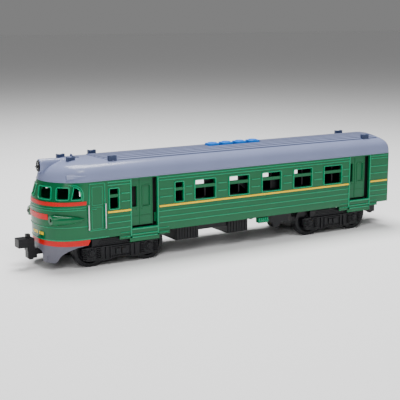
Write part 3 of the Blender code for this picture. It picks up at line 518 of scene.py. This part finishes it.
# height, half width, nose tip and rear edge of the roof, from the gutter up
ROOF_ROWS = [
    (55.8, 24.15, -133.2, 137.6), (58.8, 23.9, -132.4, 137.4), (61.6, 23.0, -130.6, 137.0),
    (63.8, 21.2, -127.9, 136.1), (65.4, 18.4, -124.6, 135.0), (66.8, 13.6, -119.8, 134.0),
    (67.8, 8.4, -114.0, 133.3), (68.4, 3.4, -106.0, 132.9),
]
ROOF_POWER = 1.95


def spline_rows(rows, per_span=4):
    """Smooth rows through the given ones, so that the roof's section has no flats."""
    table = np.array(rows)
    out = []
    for i in range(len(table) - 1):
        p0, p1, p2, p3 = (table[max(0, min(len(table) - 1, i + k))] for k in (-1, 0, 1, 2))
        for t in np.arange(per_span) / per_span:
            square, cube = 2 * p0 - 5 * p1 + 4 * p2 - p3, 3 * (p1 - p2) + p3 - p0
            out.append(0.5 * (2 * p1 + (p2 - p0) * t + square * t**2 + cube * t**3))
    return np.array(out + [table[-1]])


ROOF = spline_rows(ROOF_ROWS)


def roof_ring(z, half, tip, rear):
    points = []
    for a in np.linspace(0, math.pi / 2, 30):
        along = math.cos(a) ** (2 / ROOF_POWER) if a < 1.57 else 0.0
        points.append((NOSE_ROOT - (NOSE_ROOT - tip) * along, half * math.sin(a) ** (2 / ROOF_POWER), z))
    radius = min(2.4, half * 0.6)
    for a in np.linspace(0, math.pi / 2, 6):
        points.append((rear - radius + radius * math.sin(a), half - radius + radius * math.cos(a), z))
    return points + [(x, -y, h) for x, y, h in reversed(points[1:])]


def roof_height(x, y):
    """Height of the roof's skin above a point of the plan."""
    low, high = 0.0, len(ROOF) - 1.0
    for _ in range(24):
        middle = (low + high) / 2
        z, half, tip, rear = (np.interp(middle, np.arange(len(ROOF)), ROOF[:, k]) for k in range(4))
        inside = abs(y) <= half and x <= rear
        if inside and x < NOSE_ROOT:
            bend = ((NOSE_ROOT - x) / (NOSE_ROOT - tip)) ** ROOF_POWER
            inside = bend + (abs(y) / half) ** ROOF_POWER <= 1
        low, high = (middle, high) if inside else (low, middle)
    return float(np.interp(low, np.arange(len(ROOF)), ROOF[:, 0]))


def make_roof():
    """Roof with a real wall and the long slot for the buttons."""
    bm = bmesh.new()
    rings = [[bm.verts.new(Vector(p) * MM) for p in roof_ring(*row)] for row in ROOF]
    for lower, upper in zip(rings, rings[1:]):
        for i in range(len(lower)):
            j = (i + 1) % len(lower)
            bm.faces.new((lower[i], lower[j], upper[j], upper[i]))
    bm.faces.new(rings[-1])
    roof = object_of("roof", bm)
    wall = roof.modifiers.new("wall", "SOLIDIFY")
    wall.thickness = ROOF_WALL * MM
    wall.offset = -1
    slot = bmesh.new()
    add_box(slot, (-9.6, -4.2, 60), (33.6, 4.2, 75))
    tool = object_of("cutter", slot)
    carve(roof, tool)
    apply_all(roof, [tool])
    dress(roof, ROOF_GREY)
    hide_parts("roof")


RIB_YS = [2.9 * n for n in range(-5, 6)]


def rib_start(y):
    """The ribs begin on an arc behind the smooth front of the roof."""
    return -99.0 + 8.0 * (abs(y) / 15.0) ** 2


def make_roof_relief():
    """Long ribs on the crown with a dark strip at each side as painted shade in the groove between ribs, the
    arc that they start from and the moulded lip above the gutter.
    """
    bm, groove_shade = bmesh.new(), bmesh.new()

    def on_roof(x, y, out):
        return (x, y, roof_height(x, y) + out)

    for y in RIB_YS:
        runs = [(rib_start(y) + 1.0, 131.0)]
        if abs(y) < 4.4:
            runs = [(rib_start(y) + 1.0, -10.6), (34.6, 131.0)]
        for x0, x1 in runs:
            path = [(x, y) for x in (x0, x0 + 2.0, (x0 + x1) / 2, x1 - 2.0, x1)]
            ridge(bm, path, 1.9, 0.3, surface=on_roof, foot=0.3, top=0.8)
            # A dark strip along each edge of a rib: painted shade in the groove between ribs.
            for edge in (y - 1.45, y + 1.45):
                ridge(groove_shade, [(x, edge) for x, _ in path], 0.9, 0.14, surface=on_roof, foot=0.3, top=0.9)
    for side in (1, -1):
        ridge(bm, [(0, 55.65), (side * walk_to(REAR - 1.2), 55.65)], 0.8, 0.25, foot=0.4)
    arc = [(rib_start(y), y) for y in np.linspace(-16.5, 16.5, 25)]
    ridge(bm, arc, 1.0, 0.35, surface=on_roof, foot=0.5, top=0.5)
    dress(object_of("roof_painted_groove_shade", groove_shade), LUG_GREY_AND_GROOVE_SHADE)
    made = dress(object_of("roof_ribs", bm), ROOF_GREY)


# front and rear x, y and top of each pair of lugs
LUGS = ((-117.8, -112.4, 8.0, 69.6), (-92.4, -86.9, 15.3, 69.5), (116.6, 122.8, 15.3, 69.3))


def make_roof_lugs():
    """Six small lugs, each a panel between two end posts."""
    bm = bmesh.new()
    for x0, x1, y, top in LUGS:
        for side in (1, -1):
            foot = roof_height((x0 + x1) / 2, y) - 1.2
            low, high = sorted((side * (y - 1.2), side * (y + 1.2)))
            add_box(bm, (x0 + 0.8, low + 0.15, foot), (x1 - 0.8, high - 0.15, top - 0.25))
            for a, b in ((x0, x0 + 1.3), (x1 - 1.3, x1)):
                add_box(bm, (a, low, foot + 0.4), (b, high, top))
    dress(bevel(object_of("roof_lugs", bm), 0.2), LUG_GREY_AND_GROOVE_SHADE)


def make_intakes():
    """Narrow intake on each side of the roof: square mouth in front, fading into the roof behind."""
    for side, label in SIDES:
        bm = bmesh.new()
        rows = []
        for t in np.linspace(0, 1, 10):
            x = -123.4 + 12.0 * t
            reach = 1.5 * (1 - t) ** 0.6
            row = []
            bottom, top = 57.3 + 1.6 * t, 59.9 - 0.3 * t
            for z, out in ((bottom, -1.5), (bottom, reach), (top, reach), (top, -1.5)):
                level = np.interp(z, ROOF[:, 0], np.arange(len(ROOF)))
                half, tip = (np.interp(level, np.arange(len(ROOF)), ROOF[:, k]) for k in (1, 2))
                bend = max(0.0, (NOSE_ROOT - x) / (NOSE_ROOT - tip))
                y = half * max(0.0, 1 - bend**ROOF_POWER) ** (1 / ROOF_POWER) + out
                row.append(bm.verts.new((x * MM, side * min(y, 25.0) * MM, z * MM)))
            rows.append(row)
        for a, b in zip(rows, rows[1:]):
            for k in range(3):
                bm.faces.new((a[k], a[k + 1], b[k + 1], b[k]))
        bm.faces.new(rows[0])
        dress(bevel(object_of(f"roof_intake_{label}", bm), 0.2), ROOF_GREY)


def oval(width, height, middle, steps=10):
    radius, straight = width / 2, (height - width) / 2
    turns = [math.pi * i / steps for i in range(steps + 1)]
    return [
        (end * radius * math.cos(a), middle + end * (straight + radius * math.sin(a)))
        for end in (1, -1) for a in turns
    ]


# x, width, height and middle of the headlight housing, front to back
HOUSING = (
    (-133.4, 6.0, 8.5, 64.25), (-133.0, 6.3, 8.9, 64.25), (-130.0, 6.5, 8.9, 64.2),
    (-124.0, 6.3, 8.6, 64.2), (-112.0, 4.6, 7.0, 64.2),
)


def make_headlight():
    """Oval lamp housing that runs back into the roof."""
    bm = bmesh.new()
    rows = []
    for x, width, height, middle in HOUSING:
        rows.append([bm.verts.new((x * MM, y * MM, z * MM)) for y, z in oval(width, height, middle)])
    count = len(rows[0])
    for a, b in zip(rows, rows[1:]):
        for i in range(count):
            bm.faces.new((a[i], a[(i + 1) % count], b[(i + 1) % count], b[i]))
    bm.faces.new(rows[0])
    bm.faces.new(rows[-1])
    housing = object_of("headlight_housing", bm)
    socket = bmesh.new()
    prism(socket, oval(5.0, 7.5, 64.25), lambda y, z, x: (x, y, z), -136.0, -130.6)
    tool = object_of("cutter", socket)
    carve(housing, tool)
    apply_all(housing, [tool])
    dress(housing, ROOF_GREY)


# ---- the rest ------------------------------------------------------------------------------------

PANELS = {"front": (-84.3, -64.3), "rear": (95.1, 115.0)}
DOOR_INNER, DOOR_FACE = 21.0, 22.1


def make_doors():
    """Sliding doors with two leaves each: seam, framed windows, knobs and a low rib."""
    for side, label in SIDES:
        for place, (x0, x1) in PANELS.items():
            body = f"doors_{label}"
            bm = bmesh.new()

            def on_door(u, v, w):
                return (u, side * (DOOR_FACE + w), v)

            seam = x1 - 9.5
            for a, b in ((x0, seam - 0.15), (seam + 0.15, x1)):
                low, high = sorted((side * DOOR_INNER, side * DOOR_FACE))
                add_box(bm, (a, low, 23.8), (b, high, 55.1))
            panel = object_of(f"{place}_door_{label}", bm)
            tools = []
            holes = ((seam - 6.2, 3.9, -2.0), (seam + 2.3, 4.9, -0.7))
            for a, wide, depth in holes:
                tool = bmesh.new()
                prism(tool, rounded(a, a + wide, 36.2, 49.5, 0.5), on_door, depth, 1.0)
                tools.append(object_of("cutter", tool))
            for tool in tools:
                carve(panel, tool)
            apply_all(panel, tools)
            bevel(panel, 0.12)
            dress(panel, GREEN, body)
            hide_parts(f"{place}_door_{label}")
            trim = bmesh.new()
            for a, wide, _ in holes:
                path = rounded(a - 0.4, a + wide + 0.4, 35.8, 49.9, 0.8)
                ridge(trim, path, 0.8, 0.35, True, surface=on_door)
            for a in (seam - 2.6, seam + 1.4):
                ridge(trim, [(a, 34.4), (a + 0.9, 34.4)], 0.9, 0.35, surface=on_door)
            ridge(trim, [(seam - 7.6, 30.0), (seam - 0.8, 30.0)], 0.7, 0.3, surface=on_door)
            ridge(trim, [(seam + 0.8, 30.0), (x1 - 1.0, 30.0)], 0.7, 0.3, surface=on_door)
            ridge(trim, [(seam, 24.0), (seam, 55.0)], 0.9, 0.35, surface=on_door)
            ridge(trim, [(x1 - 0.8, 24.0), (x1 - 0.8, 55.0)], 0.6, 0.2, surface=on_door)
            dress(object_of(f"{place}_door_trim_{label}", trim), GREEN, body)


def make_tabs():
    """Upright grips on each thumb tab, joined by a bar."""
    for side, label in SIDES:
        low, high = sorted((side * 23.6, side * 24.9))
        spans = [((x, low, 14.7), (x + 0.8, high, 18.2)) for x in np.arange(18.0, 26.4, 1.7)]
        face = high - 0.3 if side > 0 else high
        spans.append(((17.8, low, 15.9), (26.6, face, 16.6)))
        # The grips are in the lighter green: painted highlight.
        boxes(f"thumb_tab_grips_{label}", spans, HIGHLIGHT_GREEN, f"doors_{label}", 0.12)


# distance round the skirt from its middle, and the height of its lower edge there
SKIRT_EDGE = [
    (0.0, 12.6), (6.5, 11.4), (7.6, 9.4), (7.9, 4.6), (18.2, 4.6), (20.1, 6.4), (21.3, 8.5),
    (23.7, 10.6), (26.6, 12.2), (32.6, 14.3), (39.4, 15.2), (41.4, 18.4),
]


def skirt_outline():
    """Points (x, y, normal, distance from the middle) round the left half of the skirt."""
    rows, walk = [], 0.0
    for a in np.linspace(0, math.pi / 2, 241):
        along = max(math.cos(a), 0.0) ** 0.8 if a < 1.57 else 0.0
        x, y = NOSE_ROOT - 26.0 * along, 24.0 * math.sin(a) ** 0.8
        walk += math.dist((x, y), rows[-1][:2]) if rows else 0.0
        rows.append((x, y, Vector((-math.cos(a), math.sin(a), 0)), walk))
    return rows


def make_skirt():
    """Grey nose skirt with its red upper band; a deep foot on each side of the coupler."""
    half = skirt_outline()
    rows = [(x, -y, Vector((n.x, -n.y, 0)), w) for x, y, n, w in reversed(half[1:])] + half
    walks, edge = zip(*SKIRT_EDGE)
    for name, material, out in (("nose_skirt", SKIRT_GREY, 0.0), ("skirt_red_band", RED_PRINT, 0.22)):
        bm = bmesh.new()
        ring = []
        for x, y, normal, walk in rows:
            low = float(np.interp(walk, walks, edge))
            top, foot, inner = 18.5, low, -1.1
            if out:
                top, foot, inner = 18.75, min(18.6, max(low, 15.75 - 0.012 * walk)), -0.1
            corners = ((top, out), (foot, out), (foot, inner), (top, inner))
            quad = [Vector((x, y, z)) + normal * off for z, off in corners]
            ring.append([bm.verts.new(point * MM) for point in quad])
        for a, b in zip(ring, ring[1:]):
            for k in range(4):
                bm.faces.new((a[k], b[k], b[(k + 1) % 4], a[(k + 1) % 4]))
        bm.faces.new(ring[0])
        bm.faces.new(ring[-1])
        made = dress(object_of(name, bm), material)
        if not out:
            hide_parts("front_skirt")
    spans = [((-134.6, y, 6.4), (-133.4, y + 0.9, 8.6)) for y in (-12.6, -10.4, 9.5, 11.7)]
    boxes("skirt_foot_marks", spans, SKIRT_GREY, edge=0.1)


# Inner and outer y of the black sheet that paints the shade inside the car.
SHADE_SHEET_INNER, SHADE_SHEET_OUTER = 19.6, 20.5


def make_interior_shade():
    """Black sheet behind the windows as painted shade for the dark inside of the car; it blocks the rear
    part of the wide ones.
    """
    for side, label in SIDES:
        bm = bmesh.new()
        low, high = sorted((side * SHADE_SHEET_INNER, side * SHADE_SHEET_OUTER))
        add_box(bm, (-86.0, low, 21.0), (135.0, high, 54.8))
        wall = object_of(f"interior_shade_sheet_{label}", bm)
        tools = []
        for x0, x1 in WINDOWS[1:]:
            right = (x0 + x1) / 2 + 2.6 if x1 - x0 > 10 else x1 - 0.6
            tool = bmesh.new()
            add_box(tool, (x0 + 0.3, low - 1, 37.2), (right, high + 1, 49.0))
            tools.append(object_of("cutter", tool))
        for tool in tools:
            carve(wall, tool)
        apply_all(wall, tools)
        dress(wall, SHADE_BLACK)


# place, middle and body of each bogie; how far out and how high its axle boxes are
BOGIES = (("front", -88.0, "front_bogie_body"), ("rear", 85.0, "car"))
AXLE_OUT, AXLE_BOX_HIGH = 20.5, 9.3


def make_underframe():
    """Upright ribs on the equipment boxes and the leaf springs on the beams of the bogies."""
    spans = []
    for x0, x1, step in ((-45.4, -28.4, 2.15), (-4.6, 11.4, 2.3)):
        spans += [((x, 19.8, 9.9), (x + 1.1, 20.45, 18.4)) for x in np.arange(x0, x1 - 0.6, step)]
    boxes("underframe_ribs", mirrored(spans), BLACK, edge=0.12)
    for place, centre, body in BOGIES:
        leaves = []
        for n in range(4):
            low, high = 13.6 + 1.1 * n, 14.2 + 1.1 * n
            leaves.append(((centre - 16.5 + n, 21.6, low), (centre + 16.5 - n, 22.15, high)))
        boxes(f"{place}_leaf_springs", mirrored(leaves), BLACK, body, 0.12)


def make_bogie_relief():
    """Side frames: coil springs, axle boxes and the upright ridges of the centre panel."""
    for place, centre, body in BOGIES:
        for side, label in SIDES:
            bm = bmesh.new()
            face = side * 22.3
            for x in (centre - AXLE_OUT, centre + AXLE_OUT):
                for radius, out in ((3.0, 0.5), (2.3, 1.0), (1.1, 1.4)):
                    start, end = (x, face, AXLE_BOX_HIGH), (x, face + side * out, AXLE_BOX_HIGH)
                    add_rod(bm, start, end, radius, radius - 0.3)
                for n in range(6):
                    a = math.radians(60 * n + 30)
                    at = (x + 2.6 * math.cos(a), face, AXLE_BOX_HIGH + 2.6 * math.sin(a))
                    add_rod(bm, at, (at[0], face + side * 1.0, at[2]), 0.35, sides=8)
                for dx in (-5.0, 5.0):
                    for n in range(6):
                        z = 5.4 + n * 1.2
                        low, high = sorted((face, face + side * 1.1))
                        add_box(bm, (x + dx - 1.5, low, z), (x + dx + 1.5, high, z + 0.6))
            low, high = sorted((face, face + side * 0.9))
            for x in (-10.4, -7.2, 7.2, 10.4):
                add_box(bm, (centre + x - 0.5, low, 4.6), (centre + x + 0.5, high, 12.6))
            for z in (5.2, 11.2):
                add_box(bm, (centre - 6.4, low, z), (centre + 6.4, high, z + 0.7))
            add_box(bm, (centre - 3.6, low, 6.8), (centre - 0.4, high, 10.6))
            add_box(bm, (centre + 0.6, low, 6.8), (centre + 3.8, high, 10.6))
            add_box(bm, (centre - 19.0, low, 12.3), (centre + 19.0, high, 13.0))
            dress(bevel(object_of(f"{place}_bogie_relief_{label}", bm), 0.15), BLACK, body)


def dress_cad():
    """Finishes and softened edges for the pieces that are shown as they are."""
    rules = [
        ("wheel", BLACK, 0.2), ("axle", STEEL, 0.1), ("chassis", BLACK, 0.2),
        ("front_bogie", BLACK, 0.2), ("rear_bogie", BLACK, 0.2), ("front_coupler", BLACK, 0.25),
        ("rear_coupler", BLACK, 0.25), ("sound_button", BLUE, 0.25), ("door_bar", GREEN, 0.15),
        ("headlight_bezel", BLACK, 0.1), ("headlight_lens", LENS, 0.1), ("headlight_led", NYLON, 0),
        ("drive_gear", NYLON, 0), ("idler_gear", NYLON, 0), ("motor_case", BLACK, 0.15),
        ("button_cell", STEEL, 0.3), ("battery_contact", BRASS, 0), ("battery_cover", BLACK, 0.15),
        ("speaker", BLACK, 0.1), ("sound_board", BOARD, 0), ("button_board", BOARD, 0),
        ("button_pad", SILICONE, 0.2), ("flywheel", STEEL, 0), ("", STEEL, 0),
    ]
    for name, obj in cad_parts.items():
        if "screw" in name or name.endswith("pin"):
            material, edge = STEEL, 0.1
        elif "handrail" in name:
            material, edge = SILVER, 0
        else:
            material, edge = next((m, e) for key, m, e in rules if name.startswith(key))
        obj.data.materials.clear()
        obj.data.materials.append(material)
        obj.data.polygons.foreach_set("material_index", [0] * len(obj.data.polygons))
        weld = obj.modifiers.new("weld", "WELD")
        weld.merge_threshold = 0.005 * MM
        if edge:
            bevel(obj, edge)


def make_stage():
    """White floor, even light from all round and three softboxes."""
    floor = bpy.data.objects.new("floor", bpy.data.meshes.new("floor"))
    bm = bmesh.new()
    bmesh.ops.create_grid(bm, x_segments=1, y_segments=1, size=6.0)
    bm.to_mesh(floor.data)
    bm.free()
    bpy.context.scene.collection.objects.link(floor)
    floor.data.materials.append(finish("floor, white paper", "#FAFAFA", 0.9, tint=0.004, grain=0.6))
    world = bpy.context.scene.world or bpy.data.worlds.new("studio")
    bpy.context.scene.world = world
    world.use_nodes = True
    world.node_tree.nodes["Background"].inputs["Color"].default_value = (1, 1, 1, 1)
    world.node_tree.nodes["Background"].inputs["Strength"].default_value = 0.22
    for name, place, size, power, colour in (
        ("top softbox", (0.05, 0.22, 0.8), 0.45, 12.0, (1, 1, 1)),
        ("side strip", (-0.1, -0.55, 0.9), 0.35, 4.5, (1, 1, 1)),
        ("front softbox", (-0.7, -0.75, 0.5), 0.5, 3.5, (1, 1, 1)),
    ):
        light = bpy.data.lights.new(name, "AREA")
        light.size, light.energy, light.color = size, power, colour
        lamp = bpy.data.objects.new(name, light)
        lamp.location = place
        lamp.rotation_euler = (Vector((0, 0, 0.03)) - Vector(place)).to_track_quat("-Z", "Y").to_euler()
        bpy.context.scene.collection.objects.link(lamp)


# place in millimetres, azimuth and elevation in degrees, and focal length on a 36 mm wide film
CAMERA_PLACE = (-356.7 + SHIFT, -561.8, 158.8)
CAMERA_TURN, CAMERA_TILT, CAMERA_LENS = -31.32, 11.04, 86.6


def make_camera():
    lens = bpy.data.cameras.new("camera")
    lens.sensor_width = 36.0
    lens.lens = CAMERA_LENS
    lens.clip_start, lens.clip_end = 0.01, 50
    camera = bpy.data.objects.new("camera", lens)
    camera.location = [part * MM for part in CAMERA_PLACE]
    a, e = math.radians(CAMERA_TURN), math.radians(CAMERA_TILT)
    aim = Vector((-math.sin(a) * math.cos(e), math.cos(a) * math.cos(e), -math.sin(e)))
    camera.rotation_euler = aim.to_track_quat("-Z", "Y").to_euler()
    bpy.context.scene.collection.objects.link(camera)
    bpy.context.scene.camera = camera


make_body()
make_side_relief()
make_steps()
make_stripes()
make_lamp_fairings()
make_roof()
make_roof_relief()
make_roof_lugs()
make_intakes()
make_headlight()
make_doors()
make_tabs()
make_skirt()
make_interior_shade()
make_underframe()
make_bogie_relief()
dress_cad()
make_stage()
make_camera()
